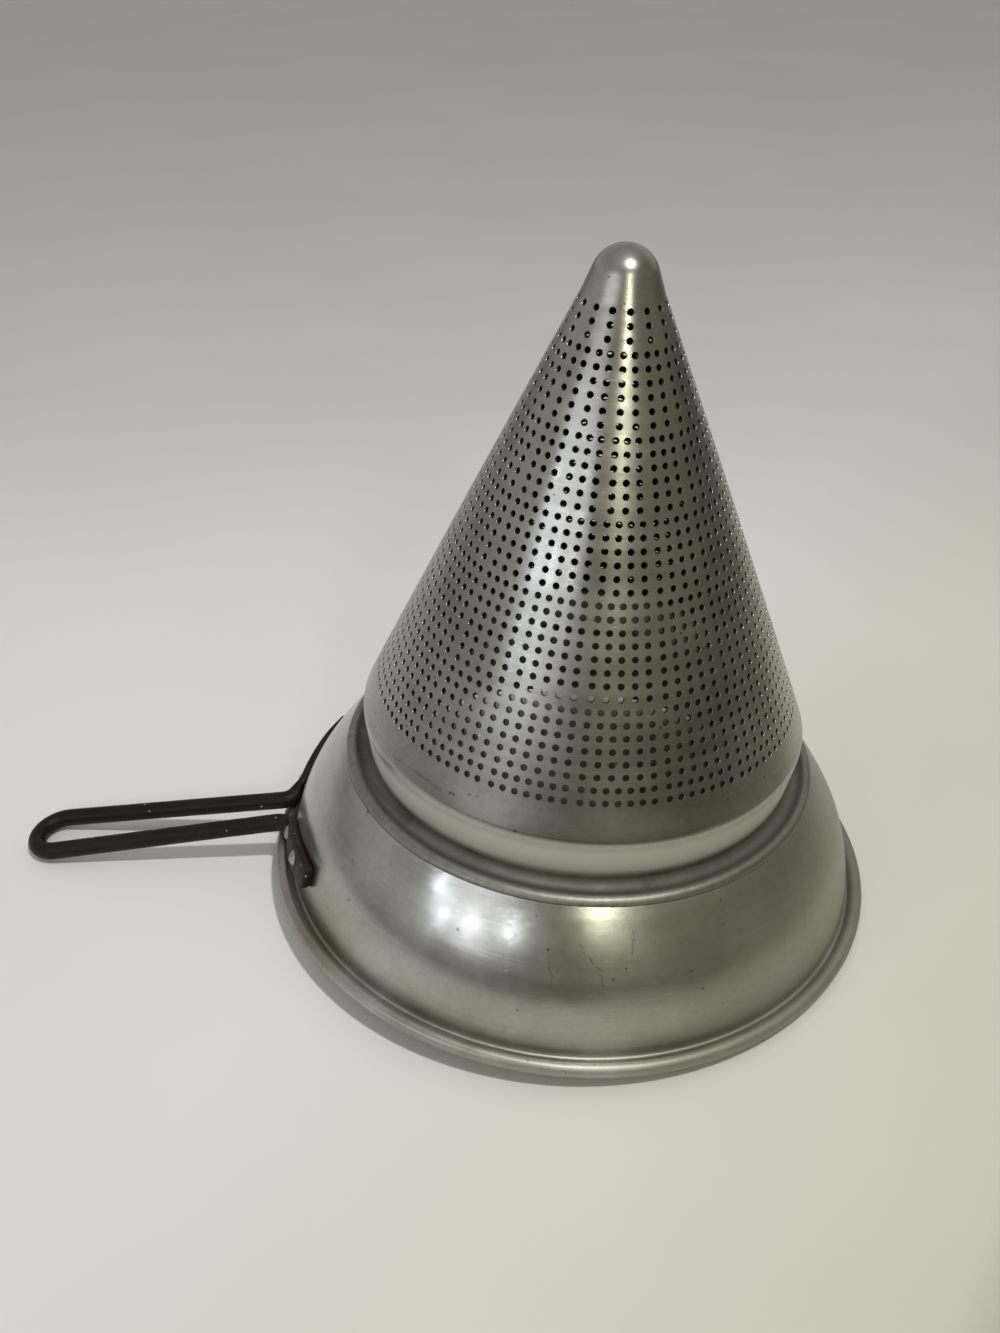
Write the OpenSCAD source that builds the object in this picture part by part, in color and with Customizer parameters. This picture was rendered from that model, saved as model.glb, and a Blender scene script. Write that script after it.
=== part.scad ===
// Conical strainer of spun aluminium with a riveted iron loop handle.
// It stands as it was put down: mouth down, tip up, the rim's far side and the handle's
// end on the table. The handle points along -X, +Z is up, and z = 0 is the table.
// Sizes are in millimetres. Heights named from the mouth are measured along the
// strainer's own axis, before it leans.

/* [Sheet] */
// Thickness of the spun aluminium
sheet = 1.6; // [1.2:0.1:1.9]

/* [Mouth] */
// Outer diameter of the rolled rim
rim_d = 254; // [230:1:290]
// How far the rolled rim stands out from the bowl's wall
rim_w = 7.7; // [7.2:0.1:9]
// Height of the rolled rim
rim_h = 5.8; // [5.4:0.1:6.4]
// How much of the roll is worn flat where it stands on the table
rim_worn = 0.3; // [0.1:0.05:0.4]
// Radius in the corner between the bowl's wall and the rim
rim_corner_r = 1.6; // [1.2:0.1:2]
// Height at which the bowl's wall would be upright
wall_foot_h = 2.1; // [1.5:0.1:3]
// Degrees that the roll turns on from its outer side, until its edge is under the rim
roll_turn = 165; // [120:1:168]

/* [Bowl] */
// Height of the bowl from the mouth to the seam
bowl_h = 56.5; // [50:0.5:62]
// Radius of the bowl's lower curve
skirt_r = 69.2; // [66:0.2:74]
// Degrees that the lower curve turns through
skirt_turn = 31; // [29:0.5:33]
// Radius of the bowl's upper curve
flank_r = 170.5; // [160:0.5:185]

/* [Seam] */
// Width of the folded seam's bead
seam_w = 5.7; // [5.5:0.1:6.4]
// Gap between the bowl's lip and the top of the fold over it
seam_play = 0.05; // [0.05:0.05:0.1]
// Width of the gutter from the cone's foot to the bead
gutter_w = 5.1; // [4:0.1:8]
// Radius of the hollow curve between the cone's foot and the bead
gutter_r = 3.2; // [2.6:0.1:3.8]

/* [Cone] */
// Angle between the cone's wall and its axis
cone_angle = 23.84; // [22:0.01:26]
// Height of the plain foot under the cone
foot_h = 22.6; // [18:0.1:28]
// Degrees that the foot leans in towards the gutter
foot_lean = 9.2; // [5:0.1:12]
// Radius of the corner between cone and foot
shoulder_r = 6; // [4:0.5:9]
// How far the cone's wall swells outwards at half its length
cone_swell = 0.25; // [0.1:0.05:0.6]
// Radius of the rounded tip
tip_r = 12.1; // [11:0.1:13]
// How far the rounded tip stands proud of the cone
tip_proud = 0.55; // [0.3:0.05:0.8]
// Slant distance from the cone's sharp apex to where its wall begins
wall_top = 35.6; // [33:0.1:40]

/* [Handle] */
// Diameter of the handle's rod
rod_d = 7.6; // [6.6:0.1:8.2]
// Gap between the rim's crown and the rod over it
rod_gap = 0.4; // [0.3:0.1:2]
// Degrees that the handle droops from the mouth's plane
droop = 12.4; // [8:0.1:15]
// Length of the loop along the rod, from the rim's crown to its round end
loop_len = 116.5; // [95:0.5:140]
// Distance between the two rods where they cross the rim
loop_root_w = 15; // [13.5:0.1:17]
// Radius of the loop's round end, to the rod's centre
loop_end_r = 11.4; // [9:0.1:14]
// Radius of the bend from rod to strap, to the rod's centre
root_bend_r = 6; // [5:0.5:7]
// Thickness of the hammered strap
strap_t = 3.4; // [2.6:0.1:3.6]
// Width of the hammered strap
strap_w = 13; // [12:0.5:15]
// Gap between the rim's top and the strap's lower edge at its first rivet
strap_lift = 0.7; // [0.5:0.1:2]
// Gap that the flat strap keeps to the bowl's curve
strap_seat = 0.12; // [0.1:0.02:0.2]
// Degrees that a strap climbs along the bowl
strap_climb = 13.2; // [8:0.1:15]
// Distance that a strap runs on past its second rivet
strap_end = 16; // [8:0.5:20]
// Corner cut off the strap's end
strap_corner = 1.2; // [0.8:0.1:3]

/* [Rivets] */
// Diameter of a rivet's shank
rivet_d = 4; // [3:0.1:5]
// Diameter of a rivet's outer head
rivet_head_d = 6.4; // [5.6:0.1:7.4]
// Height of a rivet's outer head
rivet_head_h = 1.6; // [1.2:0.1:2.2]
// Height of a rivet's flat head inside the bowl
rivet_tail_h = 1.2; // [0.8:0.1:2]
// Gap round a shank, and under its inner head
rivet_play = 0.1; // [0.05:0.05:0.2]
// Degrees round the bowl from the handle to the first rivet
rivet_turn = 8.65; // [8.4:0.05:9.5]
// Distance from the first rivet to the second along the strap
rivet_span = 21; // [16:0.5:26]

/* [Hidden] */
$fn = 96;
aluminium = "#9c9b97";
iron = "#2e2b25";

// Degrees between the points of each arc, and the sides of what is drilled
skirt_step = 3;
flank_step = 2;
tip_step = 6;
lip_step = 20;
gutter_step = 15;
dome_step = 10;
bend_step = 10;
loop_step = 11.5;
wall_steps = 8;
shank_sides = 48;

// How many times the thickness of what it goes through a drill is long
drill_reach = 4;

// Points of an arc, from one angle to another in about so many degrees a step
function arc(x, y, r, a, b, step = 12) =
    let (n = max(1, round(abs(b - a) / step)))
    [for (i = [0:n]) [x + r * cos(a + (b - a) * i / n), y + r * sin(a + (b - a) * i / n)]];

// The bowl's wall: two arcs, each meeting the next without a corner
rim_r = rim_d / 2;
wall_r = rim_r - rim_w;
skirt_x = wall_r - skirt_r;
skirt_z = wall_foot_h;
flank_x = skirt_x + (skirt_r - flank_r) * cos(skirt_turn);
flank_z = skirt_z + (skirt_r - flank_r) * sin(skirt_turn);
flank_turn = asin((bowl_h - flank_z) / flank_r);
flank_turn_in = asin((bowl_h - sheet - flank_z) / (flank_r - sheet));
seam_r = flank_x + flank_r * cos(flank_turn);

// The rolled rim: a hollow corner out of the wall, a roll, and a worn flat land under it
curl_r = (rim_h + rim_worn) / 2;
curl_x = rim_r - curl_r;
curl_z = rim_h - curl_r;
land_turn = acos(curl_z / curl_r);
land_out = curl_x + curl_r * sin(land_turn);
corner_reach = skirt_r + rim_corner_r;
corner_span = norm([curl_x - skirt_x, curl_z - skirt_z]);
corner_along =
    (pow(corner_reach, 2) - pow(curl_r + rim_corner_r, 2) + pow(corner_span, 2)) / (2 * corner_span);
corner_turn = atan2(curl_z - skirt_z, curl_x - skirt_x) + acos(corner_along / corner_reach);
corner_c = [skirt_x + corner_reach * cos(corner_turn), skirt_z + corner_reach * sin(corner_turn)];
roll_start = atan2(corner_c[1] - curl_z, corner_c[0] - curl_x);

// The seam: the cone's flange folded over the bowl's upright lip
bead_r = seam_w / 2;
bead_x = seam_r - bead_r;
lip_top = bowl_h + bead_r - sheet - seam_play;
foot_r = seam_r - seam_w - gutter_w;

// The cone above its foot
shoulder_z = bowl_h + foot_h;
shoulder_x = foot_r + foot_h * tan(foot_lean);
apex_z = shoulder_z + shoulder_x / tan(cone_angle);
slant = shoulder_x / sin(cone_angle);
shoulder_cut = shoulder_r * tan((cone_angle + foot_lean) / 2);

// The hollow curve touches the foot on one side and the bead on the other
foot_way = [sin(foot_lean), cos(foot_lean)];
gutter_from = [foot_r - bead_x, 0] + gutter_r * [cos(foot_lean), -sin(foot_lean)];
gutter_back = gutter_from * foot_way;
gutter_up = sqrt(pow(gutter_back, 2) - gutter_from * gutter_from + pow(gutter_r + bead_r, 2)) - gutter_back;
gutter_c = [bead_x, bowl_h] + gutter_from + gutter_up * foot_way;
bead_start = atan2(gutter_c[1] - bowl_h, gutter_c[0] - bead_x);
tip_z = apex_z - (tip_r - tip_proud) / sin(cone_angle);

wall_bottom = slant - shoulder_cut;
wall_slants = [for (i = [0:wall_steps]) wall_top + (wall_bottom - wall_top) * i / wall_steps];

// A point of the cone's wall at a slant distance, and the same point inside the sheet
function swell(s) =
    let (t = (s - wall_top) / (wall_bottom - wall_top))
    4 * cone_swell * t * (1 - t);
function wall_point(s, inwards = 0) =
    let (off = swell(s) - inwards)
    [s * sin(cone_angle) + off * cos(cone_angle), apex_z - s * cos(cone_angle) + off * sin(cone_angle)];

// Where the straight run below the rounded tip leaves the ball
tip_run = wall_point(wall_top) - [0, tip_z];
tip_turn = atan2(tip_run[1], tip_run[0]) + acos(tip_r / norm(tip_run));

// The shoulder's arc is centred inside the wall
shoulder_c = [
    shoulder_x - shoulder_cut * sin(cone_angle) - shoulder_r * cos(cone_angle),
    shoulder_z + shoulder_cut * cos(cone_angle) - shoulder_r * sin(cone_angle),
];

// The handle's rods, in the loop's own plane: x along the loop, y across it
rod_r = rod_d / 2;
rod_sides = 20;
rod_edge_r = rod_r / cos(180 / rod_sides);
loop_c = loop_len - loop_end_r;
root_w = loop_root_w / 2;
loop_turn = atan2(root_w, -loop_c) - acos(loop_end_r / norm([loop_c, root_w]));
rod_angle = loop_turn - 90;

// The bend from rod to strap: the degrees it turns through, and where it starts past the crown
root_turn = 50;
root_x = 3.4;
root_y = root_w + root_x * tan(rod_angle);

// Where the loop's plane crosses the rim's crown, and its round end
loop_z = rim_h + rod_gap + rod_edge_r / cos(droop);
end_x = curl_x + loop_len * cos(droop);
end_z = loop_z - loop_len * sin(droop);

// Rivets: height above the mouth, and angle round the bowl from the handle
rivet_z1 = rim_h + strap_lift + strap_w / 2;
rivet_z2 = rivet_z1 + rivet_span * sin(strap_climb);
function skirt_at(z) = skirt_x + sqrt(skirt_r * skirt_r - (z - skirt_z) * (z - skirt_z));
function skirt_slope(z) = asin((z - skirt_z) / skirt_r);
rivet_y1 = skirt_at(rivet_z1) * sin(rivet_turn);
rivet_y2 = rivet_y1 + rivet_span * cos(strap_climb);
rivet_turn2 = asin(rivet_y2 / skirt_at(rivet_z2));
rivets = [[rivet_turn, rivet_z1], [rivet_turn2, rivet_z2]];

// The lean: the rim's far side and the handle's round end both touch the table
reach = end_x + land_out;
lean = asin(rod_edge_r / norm([reach, end_z])) - atan2(end_z, reach);
lift = land_out * sin(lean);
far_x = curl_x * cos(lean) + curl_z * sin(lean) + curl_r;
near_x = -end_x * cos(lean) + end_z * sin(lean) - rod_edge_r;

module as_it_stands() {
    translate([-(far_x + near_x) / 2, 0, lift]) rotate([0, lean, 0]) children();
}

// Rounded tip, cone, plain band, shoulder, foot, gutter and folded flange, spun from one sheet
module cone_shell() {
    outside = concat(
        arc(0, tip_z, tip_r, 90, tip_turn, tip_step),
        [for (s = wall_slants) wall_point(s)],
        arc(shoulder_c[0], shoulder_c[1], shoulder_r, cone_angle, -foot_lean, tip_step),
        arc(gutter_c[0], gutter_c[1], gutter_r, 180 - foot_lean, 180 + bead_start, gutter_step),
        arc(bead_x, bowl_h, bead_r, bead_start, 0)
    );
    inside = concat(
        arc(bead_x, bowl_h, bead_r - sheet, 0, bead_start, gutter_step),
        arc(gutter_c[0], gutter_c[1], gutter_r + sheet, 180 + bead_start, 180 - foot_lean, gutter_step),
        arc(shoulder_c[0], shoulder_c[1], shoulder_r - sheet, -foot_lean, cone_angle, tip_step),
        [for (i = [wall_steps:-1:0]) wall_point(wall_slants[i], sheet)],
        arc(0, tip_z, tip_r - sheet, tip_turn, 90, tip_step)
    );
    rotate_extrude() polygon(concat(outside, inside));
}

module perforated_cone() {
    color(aluminium) as_it_stands() cone_shell();
}

// Bowl, upright lip, hollow corner and rolled rim, spun from one sheet
module bowl_shell() {
    lip_r = sheet / 2;
    rotate_extrude()
        polygon(concat(
            arc(bead_x, lip_top - lip_r, lip_r, 180, 0, lip_step),
            [[bead_x + lip_r, bowl_h]],
            arc(flank_x, flank_z, flank_r, flank_turn, skirt_turn, flank_step),
            arc(skirt_x, skirt_z, skirt_r, skirt_turn, corner_turn, skirt_step),
            arc(corner_c[0], corner_c[1], rim_corner_r, 180 + corner_turn, 180 + roll_start,
                gutter_step),
            arc(curl_x, curl_z, curl_r, roll_start, land_turn - 90),
            arc(curl_x, curl_z, curl_r, -90 - land_turn, -roll_turn),
            arc(curl_x, curl_z, curl_r - sheet, -roll_turn, roll_start, gutter_step),
            arc(corner_c[0], corner_c[1], rim_corner_r + sheet, 180 + roll_start, 180 + corner_turn,
                gutter_step),
            arc(skirt_x, skirt_z, skirt_r - sheet, corner_turn, skirt_turn, skirt_step),
            arc(flank_x, flank_z, flank_r - sheet, skirt_turn, flank_turn_in, flank_step),
            [[bead_x - lip_r, bowl_h - sheet]]
        ));
}

module bowl_collar() {
    color(aluminium) as_it_stands() difference() {
        bowl_shell();
        rivet_shanks(rivet_play);
    }
}

// Puts children at a rivet: origin on the bowl's outside, +Z out along its normal
module at_rivet(turn, z, side) {
    rotate([0, 0, 180 - side * turn])
        translate([skirt_at(z), 0, z])
            rotate([0, 90 - skirt_slope(z), 0])
                children();
}

module rivet_shanks(play = 0) {
    for (side = [-1, 1], r = rivets)
        at_rivet(r[0], r[1], side)
            cylinder(
                d = rivet_d + 2 * play,
                h = drill_reach * (sheet + strap_t),
                center = true,
                $fn = shank_sides
            );
}

// One rivet: domed head outside, shank, flat head inside
module rivet() {
    head_r = rivet_head_d / 2;
    dome_r = (head_r * head_r + rivet_head_h * rivet_head_h) / (2 * rivet_head_h);
    head_turn = asin(head_r / dome_r);
    seat = strap_t + strap_seat;
    tail = -sheet - rivet_play;
    tail_edge = 0.3;
    rotate_extrude()
        polygon(concat(
            arc(0, seat + rivet_head_h - dome_r, dome_r, 90, 90 - head_turn, dome_step),
            [
                [rivet_d / 2, seat],
                [rivet_d / 2, tail],
                [head_r, tail],
                [head_r, tail - rivet_tail_h + tail_edge],
                [head_r - tail_edge, tail - rivet_tail_h],
                [0, tail - rivet_tail_h],
            ]
        ));
}

module handle_rivets() {
    color(aluminium) as_it_stands()
        for (side = [-1, 1], r = rivets)
            at_rivet(r[0], r[1], side) rivet();
}

// A station of the rod: its centre, the way its width points, width, thickness, corner radius
function station(p, up, w, t, corner) = [p, up, w, t, corner];
function rod_station(u, v) = station(
    [-curl_x - u * cos(droop), v, loop_z - u * sin(droop)],
    [-sin(droop), 0, cos(droop)],
    rod_d, rod_d, rod_r
);

// A station of the strap, a distance along it from the first rivet
function strap_station(d, w, t) =
    let (
        z = rivet_z1 + d * sin(strap_climb),
        turn = asin((rivet_y1 + d * cos(strap_climb)) / skirt_at(z)),
        slope = skirt_slope(z),
        off = strap_seat + strap_t / 2,
        r = skirt_at(z) + off * cos(slope)
    )
    station(
        [-r * cos(turn), r * sin(turn), z + off * sin(slope)],
        [sin(slope) * cos(turn), -sin(slope) * sin(turn), cos(slope)],
        w, t, strap_edge_r
    );

// Stations between two others, on a curve that leaves and meets them straight. The rod
// grows thick only after it has left the bowl's wall.
function blend(a, b, f) = a + (b - a) * f * f * (3 - 2 * f);
function between(a, b, ta, tb, f) =
    let (
        g = 1 - f,
        len = norm(b[0] - a[0]),
        p = a[0] * (1 + 2 * f) * g * g + ta * len * f * g * g
            + b[0] * f * f * (3 - 2 * f) - tb * len * f * f * g
    )
    station(
        p,
        blend(a[1], b[1], f),
        blend(a[2], b[2], f),
        blend(a[3], b[3], f * f),
        blend(a[4], b[4], f * f)
    );

// Half the handle, from the strap's end to the middle of the loop's round end
strap_edge_r = 0.9;
strap_chamfer = 0.4;
strap_steps = 9;
strap_start = -2;
strap_last = rivet_span + strap_end;
strap_run = strap_last - strap_corner - strap_start;
strap_half = concat(
    [strap_station(strap_last, strap_w - 2 * strap_corner, strap_t - 2 * strap_chamfer)],
    [strap_station(strap_last - strap_chamfer, strap_w - 2 * (strap_corner - strap_chamfer), strap_t)],
    [for (i = [0:strap_steps])
        strap_station(
            strap_start + strap_run * (1 - i / strap_steps),
            strap_w - (i == strap_steps ? 2 * strap_chamfer : 0),
            strap_t
        )]
);
bend_points =
    arc(root_x, root_y + root_bend_r, root_bend_r, 270 - root_turn, 270 + rod_angle, bend_step);
bend_half = [for (p = bend_points) rod_station(p[0], p[1])];
end_half = [for (p = arc(loop_c, 0, loop_end_r, loop_turn, 0, loop_step)) rod_station(p[0], p[1])];
strap_in = strap_half[len(strap_half) - 1];
way_in = strap_in[0] - strap_half[len(strap_half) - 2][0];
way_out = bend_half[1][0] - bend_half[0][0];
root_steps = 4;
root_half = [for (k = [1:root_steps - 1])
    between(strap_in, bend_half[0], way_in / norm(way_in), way_out / norm(way_out), k / root_steps)];
half = concat(strap_half, root_half, bend_half, end_half);
stations = concat(half, [for (i = [len(half) - 2:-1:0])
    let (s = half[i])
    station([s[0][0], -s[0][1], s[0][2]], [s[1][0], -s[1][1], s[1][2]], s[2], s[3], s[4])]);

// The rod's section: a rectangle with round corners, which is a circle where they fill it
corner_points = rod_sides / 4;
function section(w, t, r) = [
    for (q = [0:3], k = [0:corner_points - 1])
        let (
            turn = 90 * q + (k + 0.5) * 90 / corner_points,
            side_x = q == 0 || q == 3 ? 1 : -1,
            side_y = q < 2 ? 1 : -1,
            out = r / cos(180 / rod_sides)
        )
        [side_x * (w / 2 - r) + out * cos(turn), side_y * (t / 2 - r) + out * sin(turn)]
];

// The points of the section at a station, square to the rod's run there
function ring(i) =
    let (
        s = stations[i],
        last = len(stations) - 1,
        run = stations[min(i + 1, last)][0] - stations[max(i - 1, 0)][0],
        t = run / norm(run),
        across = cross(t, s[1]),
        n = across / norm(across),
        w = cross(n, t)
    )
    [for (p = section(s[2], s[3], s[4])) s[0] + w * p[0] + n * p[1]];

// One iron rod from strap end to strap end, swept through its stations
module swept_rod() {
    n = rod_sides;
    last = len(stations) - 1;
    polyhedron(
        points = [for (i = [0:last], p = ring(i)) p],
        faces = concat(
            [[for (k = [0:n - 1]) k]],
            [for (i = [0:last - 1], k = [0:n - 1]) [i * n + k, (i + 1) * n + k, i * n + (k + 1) % n]],
            [for (i = [0:last - 1], k = [0:n - 1])
                [i * n + (k + 1) % n, (i + 1) * n + k, (i + 1) * n + (k + 1) % n]],
            [[for (k = [n - 1:-1:0]) last * n + k]]
        ),
        convexity = 4
    );
}

module loop_handle() {
    color(iron) as_it_stands() difference() {
        swept_rod();
        rivet_shanks(rivet_play);
    }
}

perforated_cone();
bowl_collar();
loop_handle();
handle_rivets();
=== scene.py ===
import math

import bmesh
import bpy
import numpy as np
from mathutils import Matrix, Vector, noise
from mathutils.geometry import delaunay_2d_cdt


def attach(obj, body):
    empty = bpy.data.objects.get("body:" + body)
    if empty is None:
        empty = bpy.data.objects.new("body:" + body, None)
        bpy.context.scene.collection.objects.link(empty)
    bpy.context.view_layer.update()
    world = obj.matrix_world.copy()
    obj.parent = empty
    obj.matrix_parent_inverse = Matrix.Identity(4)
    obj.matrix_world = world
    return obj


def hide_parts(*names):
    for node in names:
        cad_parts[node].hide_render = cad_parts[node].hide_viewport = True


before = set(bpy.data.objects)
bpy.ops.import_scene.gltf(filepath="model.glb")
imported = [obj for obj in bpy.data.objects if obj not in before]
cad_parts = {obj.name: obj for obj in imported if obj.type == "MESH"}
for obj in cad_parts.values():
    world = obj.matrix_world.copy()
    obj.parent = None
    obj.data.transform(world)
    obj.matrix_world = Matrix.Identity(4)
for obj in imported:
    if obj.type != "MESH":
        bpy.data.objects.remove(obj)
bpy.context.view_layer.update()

# Camera
# A phone held level, above and in front of the table, looking down on the strainer.
# Its place, turn and lens were solved from the punched holes of the cone.
CAMERA_PLACE = (0.049681, -0.442700, 0.394910)
CAMERA_TURN = (56.4733, 0.2219, 2.6706)
LENS_PIXELS = 1318.07
PHOTO_HEIGHT = 1333

lens = bpy.data.cameras.new("phone_lens")
lens.sensor_fit = "AUTO"
lens.sensor_width = 36.0
lens.lens = LENS_PIXELS / PHOTO_HEIGHT * lens.sensor_width
camera = bpy.data.objects.new("phone", lens)
camera.location = CAMERA_PLACE
camera.rotation_euler = [math.radians(turn) for turn in CAMERA_TURN]
bpy.context.scene.collection.objects.link(camera)
bpy.context.scene.camera = camera


# Table and room
# A matt white laminate table and a pale grey room. The room's own light is a soft
# gradient, darker and warmer on the right, as the metal shows it.
def linear(hex_colour):
    """An sRGB hex colour as the linear colour that a shader takes."""
    parts = [int(hex_colour[i:i + 2], 16) / 255 for i in (1, 3, 5)]
    return [v / 12.92 if v <= 0.04045 else ((v + 0.055) / 1.055) ** 2.4 for v in parts] + [1.0]


def add(tree, kind, inputs=None, **settings):
    """Adds a node: settings by name, inputs by name or number, each a value or another node's output."""
    node = tree.nodes.new(kind)
    for name, value in settings.items():
        setattr(node, name, value)
    for key, value in (inputs or {}).items():
        if isinstance(value, bpy.types.NodeSocket):
            tree.links.new(value, node.inputs[key])
        else:
            node.inputs[key].default_value = value
    return node


def ramp(tree, source, stops, easing="LINEAR"):
    """A colour ramp from stops of position and colour or grey."""
    node = add(tree, "ShaderNodeValToRGB", {0: source})
    elements = node.color_ramp.elements
    node.color_ramp.interpolation = easing
    while len(elements) < len(stops):
        elements.new(0.5)
    for element, (place, colour) in zip(elements, stops):
        element.position = place
        element.color = linear(colour) if isinstance(colour, str) else [colour, colour, colour, 1.0]
    return node.outputs[0]


def new_material(name):
    """An empty material with its shader and output joined."""
    material = bpy.data.materials.new(name)
    material.use_nodes = True
    tree = material.node_tree
    tree.nodes.clear()
    shader = add(tree, "ShaderNodeBsdfPrincipled")
    add(tree, "ShaderNodeOutputMaterial", {"Surface": shader.outputs[0]})
    return material, tree, shader


TABLE_SIZE = 6.0
table_mesh = bpy.data.meshes.new("table_top")
half = TABLE_SIZE / 2
table_mesh.from_pydata([(-half, -half, 0), (half, -half, 0), (half, half, 0), (-half, half, 0)], [], [(0, 1, 2, 3)])
table = bpy.data.objects.new("table_top", table_mesh)
bpy.context.scene.collection.objects.link(table)
laminate, tree, shader = new_material("white_laminate")
place = add(tree, "ShaderNodeTexCoord").outputs["Object"]
blotches = add(tree, "ShaderNodeTexNoise", {"Vector": place, "Scale": 4.0, "Detail": 3.0}).outputs[0]
white = ramp(tree, blotches, [(0.35, "#f0efec"), (0.7, "#f5f4f2")])
# Painted shade: the table's colour is darkened, and yellowed, towards its near edge and to its right, where the light
# falls off.
across = add(tree, "ShaderNodeSeparateXYZ", {0: place})
depth = add(tree, "ShaderNodeMapRange", {0: across.outputs[1], 1: -1.0, 2: 1.0, 3: 0.0, 4: 1.0}).outputs[0]
near = ramp(tree, depth, [(0.2, 0.15), (0.385, 0.91), (0.5, 0.98), (0.62, 1.0), (0.76, 0.87), (1.0, 0.84)])
slanted = add(tree, "ShaderNodeMath", {0: across.outputs[1], 1: -0.6, 2: across.outputs[0]}, operation="MULTIPLY_ADD").outputs[0]
right = ramp(tree, slanted, [(0.0, "#ffffff"), (0.30, "#e9e7dc"), (0.34, "#b1afa1"), (0.45, "#97958a")])
shade = add(tree, "ShaderNodeMix", {0: 1.0, 6: right, 7: near}, data_type="RGBA", blend_type="MULTIPLY").outputs[2]
lit = add(tree, "ShaderNodeMix", {0: 1.0, 6: white, 7: shade}, data_type="RGBA", blend_type="MULTIPLY")
tree.links.new(lit.outputs[2], shader.inputs["Base Color"])
shader.inputs["Roughness"].default_value = 0.55
shader.inputs["Specular IOR Level"].default_value = 0.3
table_mesh.materials.append(laminate)

room = bpy.data.worlds.new("room")
bpy.context.scene.world = room
room.use_nodes = True
tree = room.node_tree
tree.nodes.clear()
direction = add(tree, "ShaderNodeTexCoord").outputs["Generated"]
heading = add(tree, "ShaderNodeSeparateXYZ", {0: direction})
height = add(tree, "ShaderNodeMapRange", {0: heading.outputs["Z"], 1: -1.0, 2: 1.0, 3: 0.0, 4: 1.0}).outputs[0]
walls = ramp(tree, height, [(0.0, "#55524e"), (0.49, "#57544f"), (0.51, "#7d7b76"), (0.60, "#a9a7a5"), (0.85, "#918f8d"), (1.0, "#a9a7a3")])
side = add(tree, "ShaderNodeVectorMath", {0: direction, 1: (0.78, -0.62, 0.0)}, operation="DOT_PRODUCT").outputs["Value"]
dim = ramp(tree, side, [(0.05, "#ffffff"), (0.55, "#b8b6a5"), (1.0, "#c2c0ab")], "EASE")
sky = add(tree, "ShaderNodeMix", {0: 1.0, 6: walls, 7: dim}, data_type="RGBA", blend_type="MULTIPLY")
back = add(tree, "ShaderNodeBackground", {"Color": sky.outputs[2], "Strength": 1.22})
add(tree, "ShaderNodeOutputWorld", {"Surface": back.outputs[0]})

# Lights: a high key at the right of the camera, and soft ceiling lamps over its left shoulder.
# Each is azimuth, elevation, distance, size, power and colour, all seen from the bowl.
LAMPS = {
    "key": (-58, 66, 1.6, 0.11, 11.8, "#fffefc"),
    "left_glow": (-126, 24, 1.9, 0.85, 1.55, "#f6f8ff"),
    "far_left_lamp": (-144, 23.8, 1.9, 0.06, 0.6, "#e6f2ff"),
    "low_left_lamp": (-139, 17.3, 1.9, 0.06, 0.6, "#e6f2ff"),
    "left_lamp": (-127, 19.5, 1.9, 0.06, 0.65, "#e6f2ff"),
    "near_lamp": (-111, 22.5, 1.9, 0.06, 0.75, "#eef5ff"),
    "warm_lamp": (-74, 32.0, 1.9, 0.26, 3.3, "#fcfddf"),
}
LAMP_AIM = Vector((0.06, 0.0, 0.1))
for name, (azimuth, elevation, distance, size, power, colour) in LAMPS.items():
    lamp = bpy.data.lights.new(name, "AREA")
    lamp.shape = "DISK"
    lamp.size = size
    lamp.energy = power
    lamp.color = linear(colour)[:3]
    stand = bpy.data.objects.new(name, lamp)
    a, e = math.radians(azimuth), math.radians(elevation)
    away = Vector((math.cos(a) * math.cos(e), math.sin(a) * math.cos(e), math.sin(e)))
    stand.location = LAMP_AIM + distance * away
    stand.rotation_euler = away.to_track_quat("Z", "Y").to_euler()
    bpy.context.scene.collection.objects.link(stand)
bpy.context.scene.view_settings.view_transform = "Standard"

# Bowl collar
# The bowl is spun from one sheet of aluminium, 1.6 mm thick. Its mouth ends in a flat land
# and a rolled rim, its top in an upright lip that the cone's flange is folded over.
MM = 0.001
SHEET = 1.6
RIM_D, RIM_W, RIM_H, RIM_WORN = 254.0, 7.7, 5.8, 0.3
RIM_CORNER_R, WALL_FOOT_H, ROLL_TURN = 1.0, 2.1, 165.0
BOWL_H = 56.5
SKIRT_R, SKIRT_TURN, FLANK_R = 69.2, 31.0, 170.5
SEAM_W, SEAM_PLAY = 5.7, 0.05
LEAN, LIFT, SHIFT = math.radians(2.95369), 6.45496, 57.5267
ROUND = 256
WALL_START = math.radians(180 - 3.7)

standing = Matrix.Translation((SHIFT * MM, 0, LIFT * MM)) @ Matrix.Rotation(LEAN, 4, "Y")


def arc(x, y, r, a, b, count):
    """Points of an arc in the profile's plane, angles in degrees."""
    turns = [math.radians(a + (b - a) * i / count) for i in range(count + 1)]
    return [(x + r * math.cos(t), y + r * math.sin(t)) for t in turns]


def lathe(profile, closed, start=WALL_START, count=ROUND):
    """Points in mm and faces of a profile turned about the axis; a point on the axis is one point."""
    points, rings, faces = [], [], []
    for r, z in profile:
        if r < 1e-6:
            rings.append([len(points)] * count)
            points.append((0.0, 0.0, z))
        else:
            rings.append(list(range(len(points), len(points) + count)))
            for k in range(count):
                t = start + 2 * math.pi * k / count
                points.append((r * math.cos(t), r * math.sin(t), z))
    pairs = list(zip(rings, rings[1:] + rings[:1])) if closed else list(zip(rings, rings[1:]))
    for a, b in pairs:
        for k in range(count):
            n = (k + 1) % count
            corners = [a[k], b[k], b[n], a[n]]
            faces.append([c for i, c in enumerate(corners) if c not in corners[:i]])
    return points, faces


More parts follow.
